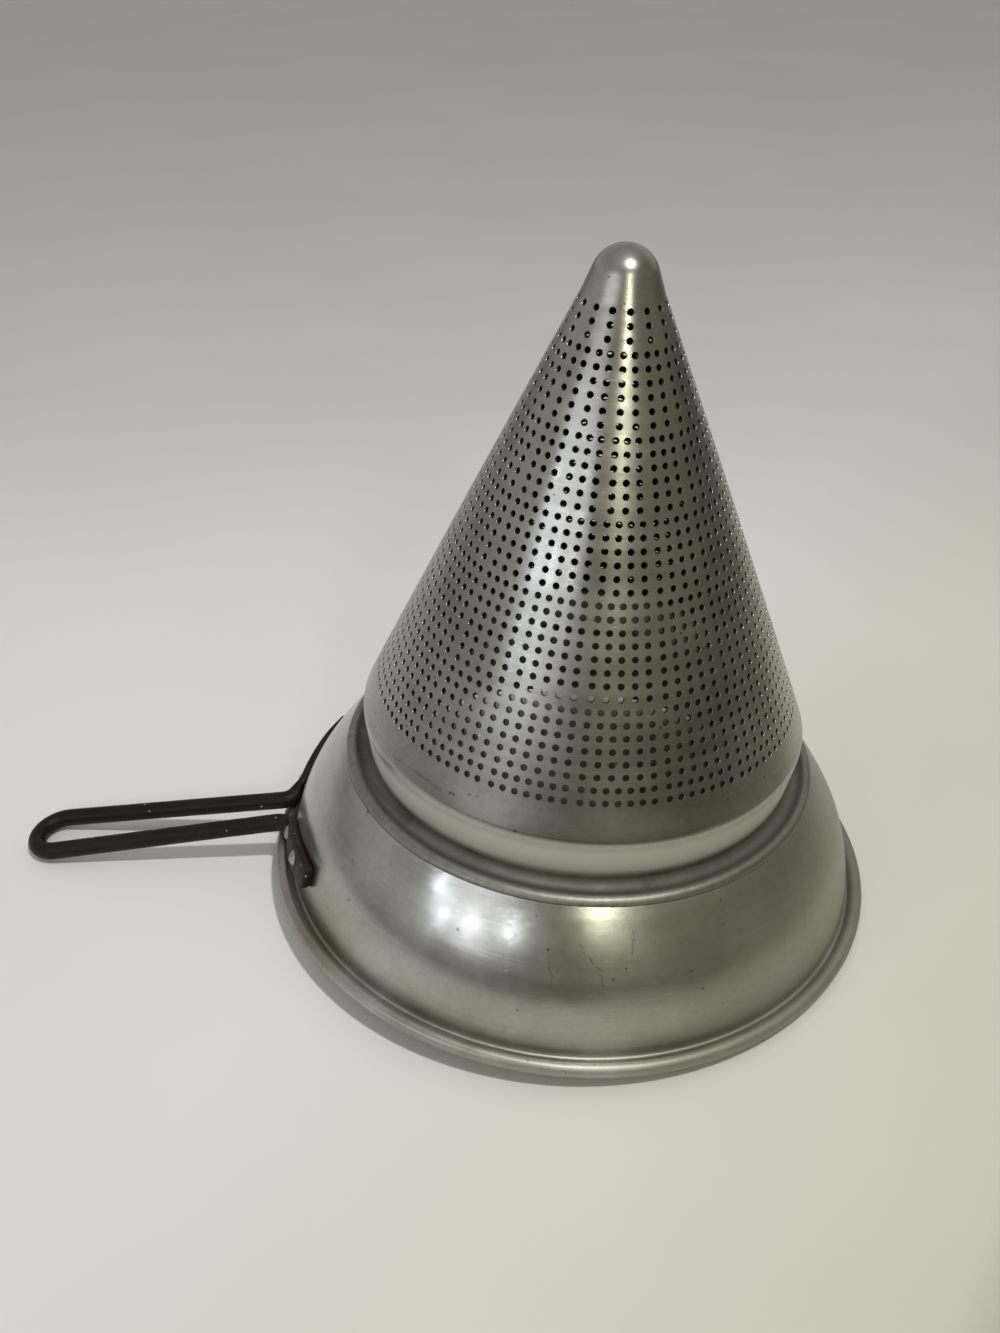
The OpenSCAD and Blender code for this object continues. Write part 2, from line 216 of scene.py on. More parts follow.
def piece(name, points, faces, material, replaced, place=standing, crease=38):
    """A mesh object in metres from points in mm, shaded smooth up to its creases, riding on the strainer."""
    mesh = bpy.data.meshes.new(name)
    mesh.from_pydata([(x * MM, y * MM, z * MM) for x, y, z in points], [], faces)
    build = bmesh.new()
    build.from_mesh(mesh)
    bmesh.ops.remove_doubles(build, verts=build.verts, dist=1e-6)
    bmesh.ops.recalc_face_normals(build, faces=build.faces)
    build.to_mesh(mesh)
    build.free()
    mesh.shade_smooth()
    mesh.set_sharp_from_angle(angle=math.radians(crease))
    mesh.materials.append(material)
    made = bpy.data.objects.new(name, mesh)
    made.matrix_world = place
    bpy.context.scene.collection.objects.link(made)
    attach(made, "root")
    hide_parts(replaced)
    return made


# Spun aluminium, worn: brushed round the axis by the spinning tool, dulled by washing.
# It gives soft streaks along the light, fine rings, hair scratches, small pits and stains.
def spun_aluminium(name, light, dark, rough_low, rough_high, hollow=None, inside=None, marks=(), stains=(), duller=0.0):
    """hollow: heights in m of a dull zone with painted light; inside: the cone's sine, cosine and apex height in m."""
    material, tree, shader = new_material(name)
    shader.inputs["Metallic"].default_value = 1.0
    place = add(tree, "ShaderNodeTexCoord").outputs["Object"]
    axes = add(tree, "ShaderNodeSeparateXYZ", {0: place})
    flat = add(tree, "ShaderNodeCombineXYZ", {0: axes.outputs[0], 1: axes.outputs[1]})
    radius = add(tree, "ShaderNodeVectorMath", {0: flat.outputs[0]}, operation="LENGTH").outputs["Value"]
    down = add(tree, "ShaderNodeMath", {0: radius, 1: axes.outputs[2]}, operation="SUBTRACT").outputs[0]
    ringed = add(tree, "ShaderNodeCombineXYZ", {0: axes.outputs[0], 1: axes.outputs[1], 2: down}).outputs[0]
    # Rings of the spinning tool, 0.8 mm apart, which is as fine as the render shows.
    fine = add(tree, "ShaderNodeMapping", {"Vector": ringed, "Scale": (18.0, 18.0, 1250.0)}).outputs[0]
    rings = add(tree, "ShaderNodeTexNoise", {"Vector": fine, "Scale": 1.0, "Detail": 3.0, "Roughness": 0.6}).outputs[0]
    # Wide soft bands where the tool paused, about 12 mm.
    wide = add(tree, "ShaderNodeMapping", {"Vector": ringed, "Scale": (6.0, 6.0, 85.0)}).outputs[0]
    bands = add(tree, "ShaderNodeTexNoise", {"Vector": wide, "Scale": 1.0, "Detail": 2.0}).outputs[0]
    # Soft dents from years of use, 25 mm across, that make the highlights run.
    dents = add(tree, "ShaderNodeTexNoise", {"Vector": place, "Scale": 42.0, "Detail": 2.0, "Roughness": 0.55}).outputs[0]
    # Cloudy dullness from washing, 30 mm patches with 3 mm mottle in them.
    clouds = add(tree, "ShaderNodeTexNoise", {"Vector": place, "Scale": 32.0, "Detail": 6.0, "Roughness": 0.62}).outputs[0]
    mottle = add(tree, "ShaderNodeTexNoise", {"Vector": place, "Scale": 330.0, "Detail": 3.0, "Roughness": 0.6}).outputs[0]
    # Pits: dark dots of about 0.4 mm in some cells of 5 mm.
    cells = add(tree, "ShaderNodeTexVoronoi", {"Vector": place, "Scale": 210.0}, feature="F1")
    dots = ramp(tree, cells.outputs["Distance"], [(0.05, 1.0), (0.13, 0.0)])
    lot = add(tree, "ShaderNodeSeparateColor", {0: cells.outputs["Color"]}).outputs[0]
    few = ramp(tree, lot, [(0.82, 0.0), (0.86, 1.0)])
    pits = add(tree, "ShaderNodeMath", {0: dots, 1: few}, operation="MULTIPLY").outputs[0]
    # Hair scratches, 0.2 mm wide and 5 to 20 mm long, in three directions, most of them light.
    hairs = None
    for turn, seed in (((0.3, 0.5, 0.2), 3.0), ((1.2, -0.4, 0.9), 11.0), ((-0.7, 1.1, 2.0), 17.0)):
        lie = add(tree, "ShaderNodeMapping", {"Vector": place, "Location": (seed, seed, 0), "Rotation": turn, "Scale": (45.0, 420.0, 420.0)}).outputs[0]
        cut = add(tree, "ShaderNodeTexVoronoi", {"Vector": lie, "Scale": 1.0}, feature="F1")
        line = ramp(tree, cut.outputs["Distance"], [(0.03, 1.0), (0.1, 0.0)])
        pick = ramp(tree, add(tree, "ShaderNodeSeparateColor", {0: cut.outputs["Color"]}).outputs[1], [(0.87, 0.0), (0.93, 1.0)])
        both = add(tree, "ShaderNodeMath", {0: line, 1: pick}, operation="MULTIPLY").outputs[0]
        hairs = both if hairs is None else add(tree, "ShaderNodeMath", {0: hairs, 1: both}, operation="MAXIMUM").outputs[0]
    grey = ramp(tree, clouds, [(0.3, dark), (0.7, light)])
    spotted = add(tree, "ShaderNodeMix", {0: pits, 6: grey, 7: linear("#4a4844")}, data_type="RGBA")
    scratched = add(tree, "ShaderNodeMix", {0: hairs, 6: spotted.outputs[2], 7: linear("#e6e5e0")}, data_type="RGBA").outputs[2]
    mottled = add(tree, "ShaderNodeMix", {0: 0.2, 6: scratched, 7: ramp(tree, mottle, [(0.35, 0.62), (0.6, 1.0)])},
                  data_type="RGBA", blend_type="MULTIPLY").outputs[2]
    colour = add(tree, "ShaderNodeMix", {0: 0.22, 6: mottled, 7: ramp(tree, rings, [(0.3, 0.55), (0.7, 1.0)])},
                 data_type="RGBA", blend_type="MULTIPLY").outputs[2]
    for centre, reach, tint, strength in stains:
        # A stain or tinted patch: its centre and reach in mm.
        far = add(tree, "ShaderNodeVectorMath", {0: place, 1: [v * MM for v in centre]}, operation="DISTANCE").outputs["Value"]
        within = add(tree, "ShaderNodeMapRange", {0: far, 1: 0.0, 2: reach * MM, 3: strength, 4: 0.0}).outputs[0]
        within = add(tree, "ShaderNodeMath", {0: within, 1: ramp(tree, clouds, [(0.28, 0.0), (0.5, 1.0)])}, operation="MULTIPLY").outputs[0]
        colour = add(tree, "ShaderNodeMix", {0: within, 6: colour, 7: linear(tint)}, data_type="RGBA").outputs[2]
    shake = add(tree, "ShaderNodeTexNoise", {"Vector": place, "Scale": 380.0, "Detail": 3.0}).outputs["Color"]
    shaken = add(tree, "ShaderNodeVectorMath", {0: shake, 1: (0.0024, 0.0024, 0.0024), 2: place}, operation="MULTIPLY_ADD").outputs[0]
    shaken = add(tree, "ShaderNodeVectorMath", {0: shaken, 1: (0.0012, 0.0012, 0.0012)}, operation="SUBTRACT").outputs[0]
    for points, width, strength in marks:
        # One dark scratch: its points, width in mm and strength.
        for a, b in zip(points, points[1:]):
            a, b = Vector(a) * MM, Vector(b) * MM
            way = b - a
            rel = add(tree, "ShaderNodeVectorMath", {0: shaken, 1: a}, operation="SUBTRACT").outputs[0]
            t = add(tree, "ShaderNodeVectorMath", {0: rel, 1: way / way.length_squared}, operation="DOT_PRODUCT").outputs["Value"]
            t = add(tree, "ShaderNodeClamp", {0: t}).outputs[0]
            foot = add(tree, "ShaderNodeVectorMath", {0: way, "Scale": t}, operation="SCALE").outputs[0]
            gap = add(tree, "ShaderNodeVectorMath", {0: rel, 1: foot}, operation="DISTANCE").outputs["Value"]
            mask = add(tree, "ShaderNodeMapRange", {0: gap, 1: 0.2 * width * MM, 2: 0.8 * width * MM, 3: strength, 4: 0.0}).outputs[0]
            colour = add(tree, "ShaderNodeMix", {0: mask, 6: colour, 7: linear("#3c3b39")}, data_type="RGBA").outputs[2]
    dull = add(tree, "ShaderNodeMath", {0: clouds, 1: bands}, operation="ADD").outputs[0]
    worn = add(tree, "ShaderNodeMapRange", {0: dull, 1: 0.7, 2: 1.3, 3: rough_low, 4: rough_high}).outputs[0]
    # The rim and the bead of the seam are rubbed dull by counters and cloths.
    low_zone = add(tree, "ShaderNodeMapRange", {0: axes.outputs[2], 1: 0.0060, 2: 0.0320, 3: 0.24, 4: 0.0}).outputs[0]
    worn = add(tree, "ShaderNodeMath", {0: worn, 1: low_zone}, operation="ADD").outputs[0]
    # Darker and greyer towards the bottom, below 28 mm, in cloudy patches.
    low_darkening = add(tree, "ShaderNodeMapRange", {0: axes.outputs[2], 1: 0.006, 2: 0.028, 3: 0.62, 4: 0.0}).outputs[0]
    low_darkening = add(tree, "ShaderNodeMath", {0: low_darkening, 1: ramp(tree, clouds, [(0.35, 1.0), (0.65, 0.35)])}, operation="MULTIPLY").outputs[0]
    colour = add(tree, "ShaderNodeMix", {0: low_darkening, 6: colour, 7: linear("#8f8b7c")}, data_type="RGBA").outputs[2]
    metal_share = add(tree, "ShaderNodeMath", {0: 1.0, 1: 0.0}, operation="SUBTRACT").outputs[0]
    if duller:
        # The side away from the handle stands in the sink's water and is duller; painted shade also makes its colour
        # darker and browner there.
        off_side = add(tree, "ShaderNodeMapRange", {0: axes.outputs[0], 1: 0.0, 2: 0.075, 3: 0.0, 4: duller}).outputs[0]
        worn = add(tree, "ShaderNodeMath", {0: worn, 1: off_side}, operation="ADD").outputs[0]
        side_painted_shade = add(tree, "ShaderNodeMapRange", {0: axes.outputs[0], 1: 0.0, 2: 0.09, 3: 0.0, 4: 0.5}).outputs[0]
        colour = add(tree, "ShaderNodeMix", {0: side_painted_shade, 6: colour, 7: linear("#9d9b8c")}, data_type="RGBA").outputs[2]
    if hollow:
        # No cloth reaches into the hollow above the seam: it is matt, and painted light makes its colour paler, as the
        # white room it reflects.
        low_edge = add(tree, "ShaderNodeMapRange", {0: axes.outputs[2], 1: hollow[0], 2: hollow[1], 3: 0.0, 4: 1.0}).outputs[0]
        high_edge = add(tree, "ShaderNodeMapRange", {0: axes.outputs[2], 1: hollow[2], 2: hollow[3], 3: 1.0, 4: 0.0}).outputs[0]
        matt_and_painted_light = add(tree, "ShaderNodeMath", {0: low_edge, 1: high_edge}, operation="MULTIPLY").outputs[0]
        colour = add(tree, "ShaderNodeMix", {0: matt_and_painted_light, 6: colour, 7: linear("#cfcec5")}, data_type="RGBA").outputs[2]
        worn = add(tree, "ShaderNodeMath", {0: matt_and_painted_light, 1: 0.25, 2: worn}, operation="MULTIPLY_ADD").outputs[0]
        metal_share = add(tree, "ShaderNodeMapRange", {0: matt_and_painted_light, 1: 0.0, 2: 1.0, 3: 1.0, 4: 0.7}).outputs[0]
        # The bottom of the hollow is darker and rougher, more in some places than in others.
        bottom = add(tree, "ShaderNodeMapRange", {0: axes.outputs[2], 1: hollow[0] + 0.0030, 2: hollow[0] + 0.0060, 3: 1.0, 4: 0.0}).outputs[0]
        inner = add(tree, "ShaderNodeMapRange", {0: radius, 1: hollow[4], 2: hollow[4] + 0.001, 3: 1.0, 4: 0.0}).outputs[0]
        hollow_bottom_dark = add(tree, "ShaderNodeMath", {0: bottom, 1: inner}, operation="MULTIPLY").outputs[0]
        hollow_bottom_dark = add(tree, "ShaderNodeMath", {0: hollow_bottom_dark, 1: ramp(tree, clouds, [(0.35, 0.55), (0.6, 1.0)])}, operation="MULTIPLY").outputs[0]
        colour = add(tree, "ShaderNodeMix", {0: hollow_bottom_dark, 6: colour, 7: linear("#67655e")}, data_type="RGBA").outputs[2]
        worn = add(tree, "ShaderNodeMath", {0: hollow_bottom_dark, 1: 0.3, 2: worn}, operation="MULTIPLY_ADD").outputs[0]
        bead = add(tree, "ShaderNodeMapRange", {0: axes.outputs[2], 1: hollow[0] + 0.001, 2: hollow[0] + 0.002, 3: 1.0, 4: 0.0}).outputs[0]
        worn = add(tree, "ShaderNodeMath", {0: bead, 1: 0.2, 2: worn}, operation="MULTIPLY_ADD").outputs[0]
        # The bead of the seam is darker, in mottled patches.
        bead_darkening = add(tree, "ShaderNodeMath", {0: bead, 1: ramp(tree, mottle, [(0.3, 0.75), (0.7, 0.4)])}, operation="MULTIPLY").outputs[0]
        colour = add(tree, "ShaderNodeMix", {0: bead_darkening, 6: colour, 7: linear("#7f7d73")}, data_type="RGBA").outputs[2]
    if inside:
        # Painted shade: the skin inside the cone and the walls of its holes are painted near black, the shade inside
        # the closed strainer, and are made dull, not metal.
        out = add(tree, "ShaderNodeMath", {0: radius, 1: inside[1]}, operation="MULTIPLY").outputs[0]
        over = add(tree, "ShaderNodeMath", {0: axes.outputs[2], 1: inside[2]}, operation="SUBTRACT").outputs[0]
        deep = add(tree, "ShaderNodeMath", {0: over, 1: inside[0], 2: out}, operation="MULTIPLY_ADD").outputs[0]
        part_way = add(tree, "ShaderNodeMapRange", {0: axes.outputs[2], 1: inside[4], 2: inside[3], 3: 1.0, 4: 0.0}).outputs[0]
        rest = add(tree, "ShaderNodeMath", {0: 1.0, 1: part_way}, operation="SUBTRACT").outputs[0]
        swell = add(tree, "ShaderNodeMath", {0: part_way, 1: rest}, operation="MULTIPLY").outputs[0]
        deep = add(tree, "ShaderNodeMath", {0: swell, 1: -4 * CONE_SWELL * MM, 2: deep}, operation="MULTIPLY_ADD").outputs[0]
        painted_shade_share = add(tree, "ShaderNodeMapRange", {0: deep, 1: -0.00035, 2: -0.00005, 3: 0.95, 4: 0.0}).outputs[0]
        wall = add(tree, "ShaderNodeMapRange", {0: axes.outputs[2], 1: 0.080, 2: 0.083, 3: 0.0, 4: 1.0}).outputs[0]
        painted_shade_share = add(tree, "ShaderNodeMath", {0: painted_shade_share, 1: wall}, operation="MULTIPLY").outputs[0]
        below_tip = add(tree, "ShaderNodeMapRange", {0: axes.outputs[2], 1: 0.2472, 2: 0.2478, 3: 1.0, 4: 0.0}).outputs[0]
        painted_shade_share = add(tree, "ShaderNodeMath", {0: painted_shade_share, 1: below_tip}, operation="MULTIPLY").outputs[0]
        colour = add(tree, "ShaderNodeMix", {0: painted_shade_share, 6: colour, 7: linear("#26241f")}, data_type="RGBA").outputs[2]
        clean = add(tree, "ShaderNodeMath", {0: 1.0, 1: painted_shade_share}, operation="SUBTRACT").outputs[0]
        metal_share = add(tree, "ShaderNodeMath", {0: metal_share, 1: clean}, operation="MULTIPLY").outputs[0]
        sheen = add(tree, "ShaderNodeMath", {0: clean, 1: 0.5}, operation="MULTIPLY").outputs[0]
        tree.links.new(sheen, shader.inputs["Specular IOR Level"])
    tree.links.new(metal_share, shader.inputs["Metallic"])
    tree.links.new(colour, shader.inputs["Base Color"])
    tree.links.new(worn, shader.inputs["Roughness"])
    bumps = add(tree, "ShaderNodeMath", {0: rings, 1: 0.16}, operation="MULTIPLY").outputs[0]
    bumps = add(tree, "ShaderNodeMath", {0: bands, 1: 1.0, 2: bumps}, operation="MULTIPLY_ADD").outputs[0]
    bumps = add(tree, "ShaderNodeMath", {0: dents, 1: 3.0, 2: bumps}, operation="MULTIPLY_ADD").outputs[0]
    bumps = add(tree, "ShaderNodeMath", {0: mottle, 1: 0.16, 2: bumps}, operation="MULTIPLY_ADD").outputs[0]
    speck = add(tree, "ShaderNodeMath", {0: pits, 1: hairs}, operation="MAXIMUM").outputs[0]
    bumps = add(tree, "ShaderNodeMath", {0: speck, 1: -0.4, 2: bumps}, operation="MULTIPLY_ADD").outputs[0]
    bump = add(tree, "ShaderNodeBump", {"Height": bumps, "Strength": 0.4, "Distance": 0.00014})
    tree.links.new(bump.outputs[0], shader.inputs["Normal"])
    return material


bowl_metal = spun_aluminium("spun_aluminium_bowl", "#c6c5bf", "#b1b0a9", 0.17, 0.27, marks=[
    ([(1.3, -104.2, 45.9), (2.5, -105.7, 43.6), (6.0, -107.4, 40.7), (9.4, -109.1, 37.7), (10.5, -111.4, 33.2)], 0.4, 0.6),
    ([(20.0, -99.4, 49.9), (20.6, -101.8, 46.4), (20.2, -104.5, 42.5)], 0.4, 0.55),
    ([(-9.8, -107.1, 40.8), (-9.2, -109.0, 37.8), (-7.9, -110.8, 34.8), (-7.3, -112.2, 32.2)], 0.35, 0.5),
# The first two are brown stains where food and rust water dried; the third darkens the lower wall at the front right
# towards olive.
], stains=[((-100, -70, 6), 24, "#80693f", 0.6), ((-114, -38, 17), 11, "#6b553a", 0.5), ((60, -105, 15), 30, "#8d8264", 0.35)], duller=0.2)

rim_r = RIM_D / 2
wall_r = rim_r - RIM_W
skirt_x = wall_r - SKIRT_R
skirt_z = WALL_FOOT_H
flank_x = skirt_x + (SKIRT_R - FLANK_R) * math.cos(math.radians(SKIRT_TURN))
flank_z = skirt_z + (SKIRT_R - FLANK_R) * math.sin(math.radians(SKIRT_TURN))
flank_turn = math.degrees(math.asin((BOWL_H - flank_z) / FLANK_R))
flank_turn_in = math.degrees(math.asin((BOWL_H - SHEET - flank_z) / (FLANK_R - SHEET)))
seam_r = flank_x + FLANK_R * math.cos(math.radians(flank_turn))
curl_r = (RIM_H + RIM_WORN) / 2
curl_x, curl_z = rim_r - curl_r, RIM_H - curl_r
land_turn = math.degrees(math.acos(curl_z / curl_r))
corner_reach = SKIRT_R + RIM_CORNER_R
corner_span = math.hypot(curl_x - skirt_x, curl_z - skirt_z)
corner_along = (corner_reach ** 2 - (curl_r + RIM_CORNER_R) ** 2 + corner_span ** 2) / (2 * corner_span)
corner_turn = math.atan2(curl_z - skirt_z, curl_x - skirt_x) + math.acos(corner_along / corner_reach)
corner_x = skirt_x + corner_reach * math.cos(corner_turn)
corner_z = skirt_z + corner_reach * math.sin(corner_turn)
corner_turn = math.degrees(corner_turn)
roll_start = math.degrees(math.atan2(corner_z - curl_z, corner_x - curl_x))
bead_r = SEAM_W / 2
bead_x = seam_r - bead_r
lip_top = BOWL_H + bead_r - SHEET - SEAM_PLAY
lip_r = SHEET / 2
bowl_profile = (
    arc(bead_x, lip_top - lip_r, lip_r, 180, 0, 8)
    + [(bead_x + lip_r, BOWL_H)]
    + arc(flank_x, flank_z, FLANK_R, flank_turn, SKIRT_TURN, 12)
    + arc(skirt_x, skirt_z, SKIRT_R, SKIRT_TURN, corner_turn, 24)[1:]
    + arc(corner_x, corner_z, RIM_CORNER_R, 180 + corner_turn, 180 + roll_start, 10)[1:]
    + arc(curl_x, curl_z, curl_r, roll_start, land_turn - 90, 24)[1:]
    + arc(curl_x, curl_z, curl_r, -90 - land_turn, -ROLL_TURN, 8)
    + arc(curl_x, curl_z, curl_r - SHEET, -ROLL_TURN, roll_start, 24)
    + arc(corner_x, corner_z, RIM_CORNER_R + SHEET, 180 + roll_start, 180 + corner_turn, 10)[1:]
    + arc(skirt_x, skirt_z, SKIRT_R - SHEET, corner_turn, SKIRT_TURN, 20)[1:]
    + arc(flank_x, flank_z, FLANK_R - SHEET, SKIRT_TURN, flank_turn_in, 12)[1:]
    + [(bead_x - lip_r, BOWL_H - SHEET)]
)
bowl_points, bowl_faces = lathe(bowl_profile, closed=True)
piece("bowl", bowl_points, bowl_faces, bowl_metal, "bowl_collar")

# Perforated cone
# The cone, its plain foot, the gutter and the folded flange are spun from a second sheet.
# Its 2352 holes are punched in 37 rows and 16 like sectors, with more holes to a sector lower down.
GUTTER_W, GUTTER_R = 5.1, 3.2
FOLD_EDGE = 7
CONE_ANGLE = math.radians(23.84)
FOOT_H, FOOT_LEAN, SHOULDER_R = 22.6, 9.2, 6.0
CONE_SWELL = 0.25
TIP_R, TIP_PROUD = 12.1, 0.55
HOLE_R = 1.2
FIRST_ROW, PLAIN_BAND = 37.9, 15.4
SECTORS = 16
BANDS = [(3, 1, 0.0), (6, 2, 10.5), (6, 3, 6.95), (6, 4, 5.45), (8, 5, 4.35), (6, 6, 3.7), (2, 7, 3.1)]
HOLE_SIDES = 16
PUNCH_RINGS = [(HOLE_R + 0.08, 0.0), (HOLE_R, 0.1), (HOLE_R, SHEET - 0.05), (HOLE_R + 0.05, SHEET)]
HOLE_RIM = HOLE_R + 0.3
foot_r = seam_r - SEAM_W - GUTTER_W
shoulder_z = BOWL_H + FOOT_H
shoulder_x = foot_r + FOOT_H * math.tan(math.radians(FOOT_LEAN))
apex_z = shoulder_z + shoulder_x / math.tan(CONE_ANGLE)
slant = shoulder_x / math.sin(CONE_ANGLE)
shoulder_cut = SHOULDER_R * math.tan((CONE_ANGLE + math.radians(FOOT_LEAN)) / 2)
# The hollow curve touches the foot on one side and the bead on the other.
lean_sin, lean_cos = math.sin(math.radians(FOOT_LEAN)), math.cos(math.radians(FOOT_LEAN))
from_x, from_z = foot_r - bead_x + GUTTER_R * lean_cos, -GUTTER_R * lean_sin
back = from_x * lean_sin + from_z * lean_cos
up = math.sqrt(back ** 2 - from_x ** 2 - from_z ** 2 + (GUTTER_R + bead_r) ** 2) - back
gutter_x, gutter_z = bead_x + from_x + up * lean_sin, BOWL_H + from_z + up * lean_cos
bead_start = math.degrees(math.atan2(gutter_z - BOWL_H, gutter_x - bead_x))
tip_z = apex_z - (TIP_R - TIP_PROUD) / math.sin(CONE_ANGLE)
row_holes = [(m, math.radians(step)) for count, m, step in BANDS for _ in range(count)]
last_row = slant - PLAIN_BAND
ROW_PITCH = (last_row - FIRST_ROW) / (len(row_holes) - 1)
row_slants = [FIRST_ROW + i * ROW_PITCH for i in range(len(row_holes))]
wall_top = row_slants[0] - ROW_PITCH / 2
wall_bottom = slant - shoulder_cut


def wall_point(s, inwards=0.0):
    """Radius and height of the cone's wall at a slant distance from its sharp apex."""
    t = (s - wall_top) / (wall_bottom - wall_top)
    off = 4 * CONE_SWELL * t * (1 - t) - inwards
    c, n = math.cos(CONE_ANGLE), math.sin(CONE_ANGLE)
    return s * n + off * c, apex_z - s * c + off * n


shoulder_c = (
    shoulder_x - shoulder_cut * math.sin(CONE_ANGLE) - SHOULDER_R * math.cos(CONE_ANGLE),
    shoulder_z + shoulder_cut * math.cos(CONE_ANGLE) - SHOULDER_R * math.sin(CONE_ANGLE),
)
run_r, run_z = wall_point(wall_top)[0], wall_point(wall_top)[1] - tip_z
tip_turn = math.degrees(math.atan2(run_z, run_r) + math.acos(TIP_R / math.hypot(run_r, run_z)))
angle = math.degrees(CONE_ANGLE)
plain_steps = [last_row + ROW_PITCH / 2 + (wall_bottom - last_row - ROW_PITCH / 2) * i / 6 for i in range(7)]
tip_outside = arc(0, tip_z, TIP_R, 90, tip_turn, 20) + [wall_point(wall_top)]
tip_outside[0] = (0.0, tip_outside[0][1])
tip_inside = [wall_point(wall_top, SHEET)] + arc(0, tip_z, TIP_R - SHEET, tip_turn, 90, 12)
tip_inside[-1] = (0.0, tip_inside[-1][1])
foot_profile = (
    [wall_point(s) for s in plain_steps]
    + arc(*shoulder_c, SHOULDER_R, angle, -FOOT_LEAN, 10)[1:]
    + arc(gutter_x, gutter_z, GUTTER_R, 180 - FOOT_LEAN, 180 + bead_start, 12)
    + arc(bead_x, BOWL_H, bead_r, bead_start, FOLD_EDGE, 24)[1:]
    + arc(bead_x, BOWL_H, bead_r - SHEET, FOLD_EDGE, bead_start, 12)
    + arc(gutter_x, gutter_z, GUTTER_R + SHEET, 180 + bead_start, 180 - FOOT_LEAN, 10)[1:]
    + arc(*shoulder_c, SHOULDER_R - SHEET, -FOOT_LEAN, angle, 8)
    + [wall_point(s, SHEET) for s in reversed(plain_steps[:-1])]
)
cone_points, cone_faces = [], []
for profile in (tip_outside, foot_profile, tip_inside):
    points, faces = lathe(profile, closed=False)
    first = len(cone_points)
    cone_points += points
    cone_faces += [[first + v for v in face] for face in faces]

# One sector of one row is laid out flat, its holes cut, and then rolled up sixteen times.
sector = 2 * math.pi / SECTORS
steps = ROUND // SECTORS
for row, ((count, hole_step), s_row) in enumerate(zip(row_holes, row_slants)):
    unroll = wall_point(s_row)[0]
    flat_points = [(sector * i / steps, side * ROW_PITCH / 2) for side in (-1, 1) for i in range(steps + 1)]
    edges = [(i, i + 1) for i in range(steps)] + [(steps + 1 + i, steps + 2 + i) for i in range(steps)]
    for turn in (0.0, sector):
        flat_points += [(turn, -ROW_PITCH / 6), (turn, ROW_PITCH / 6)]
    base = 2 * steps + 2
    edges += [(0, base), (base, base + 1), (base + 1, steps + 1)]
    edges += [(steps, base + 2), (base + 2, base + 3), (base + 3, 2 * steps + 1)]
    holes = []
    for j in range(count):
        middle = sector / 2 + hole_step * (j - (count - 1) / 2)
        ring = list(range(len(flat_points), len(flat_points) + HOLE_SIDES))
        for k in range(HOLE_SIDES):
            t = 2 * math.pi * k / HOLE_SIDES
            drop = HOLE_RIM * math.sin(t)
            flat_points.append((middle + HOLE_RIM * math.cos(t) / wall_point(s_row + drop)[0], drop))
        edges += [(ring[k], ring[(k + 1) % HOLE_SIDES]) for k in range(HOLE_SIDES)]
        holes.append((middle, ring))
    laid = [Vector((turn * unroll, drop)) for turn, drop in flat_points]
    cut = delaunay_2d_cdt(laid, edges, [], 1, 1e-5)
    source = [origin[0] for origin in cut[3]]
    triangles = []
    for face in cut[2]:
        corners = [source[v] for v in face]
        mid = sum((laid[v] for v in corners), Vector((0, 0))) / 3
        inside = any((mid - Vector((middle * unroll, 0))).length < HOLE_RIM * 0.9 for middle, ring in holes)
        if not inside:
            triangles.append(corners)
    # Layers: the outer skin, the punch rings, the inner skin.
    sheet_points = [(turn, drop, 0.0) for turn, drop in flat_points]
    skin = len(sheet_points)
    sheet_points += [(turn, drop, SHEET) for turn, drop in flat_points]
    sheet_faces = [tuple(t) for t in triangles] + [tuple(skin + v for v in reversed(t)) for t in triangles]
    for middle, ring in holes:
        loops = [ring]
        for radius, depth in PUNCH_RINGS:
            loops.append(list(range(len(sheet_points), len(sheet_points) + HOLE_SIDES)))
            for k in range(HOLE_SIDES):
                t = 2 * math.pi * k / HOLE_SIDES
                drop = radius * math.sin(t)
                sheet_points.append((middle + radius * math.cos(t) / wall_point(s_row + drop)[0], drop, depth))
        loops.append([skin + v for v in ring])
        for a, b in zip(loops, loops[1:]):
            for k in range(HOLE_SIDES):
                n = (k + 1) % HOLE_SIDES
                sheet_faces.append((a[k], a[n], b[n], b[k]))
    rolled = [(turn, *wall_point(s_row + drop, depth)) for turn, drop, depth in sheet_points]
    for k in range(SECTORS):
        first = len(cone_points)
        for turn, r, z in rolled:
            t = WALL_START + sector * k + turn
            cone_points.append((r * math.cos(t), r * math.sin(t), z))
        cone_faces += [tuple(first + v for v in face) for face in sheet_faces]

cone_metal = spun_aluminium("spun_aluminium_cone", "#b9b7b1", "#a4a29c", 0.22, 0.34, hollow=(0.0590, 0.0660, 0.074, 0.0795, 0.0925),
                            inside=(math.sin(CONE_ANGLE), math.cos(CONE_ANGLE), apex_z * MM, wall_point(wall_top)[1] * MM, wall_point(wall_bottom)[1] * MM), marks=[
    ([(-78.0, -48.6, 80.0), (-76.0, -46.5, 86.0), (-72.9, -49.1, 90.1)], 0.9, 0.35),
    ([(-72.0, -49.9, 82.7), (-60.7, -62.2, 84.4), (-52.7, -69.5, 83.8)], 0.9, 0.35),
    ([(-48.8, -71.8, 84.6), (-47.6, -72.6, 84.9)], 0.8, 0.8),
    ([(-41.8, -74.9, 86.9), (-40.8, -75.2, 87.3)], 0.8, 0.7),
    ([(-5.9, -10.0, 255.9), (-5.5, -10.1, 255.7)], 0.7, 0.8),
    ([(0.2, -2.5, 264.3), (0.8, -2.4, 264.3)], 0.9, 0.7),
    ([(-32.1, -82.8, 79.9), (-31.5, -80.7, 62.8)], 0.6, 0.3),
])
piece("cone", cone_points, cone_faces, cone_metal, "perforated_cone", crease=50)

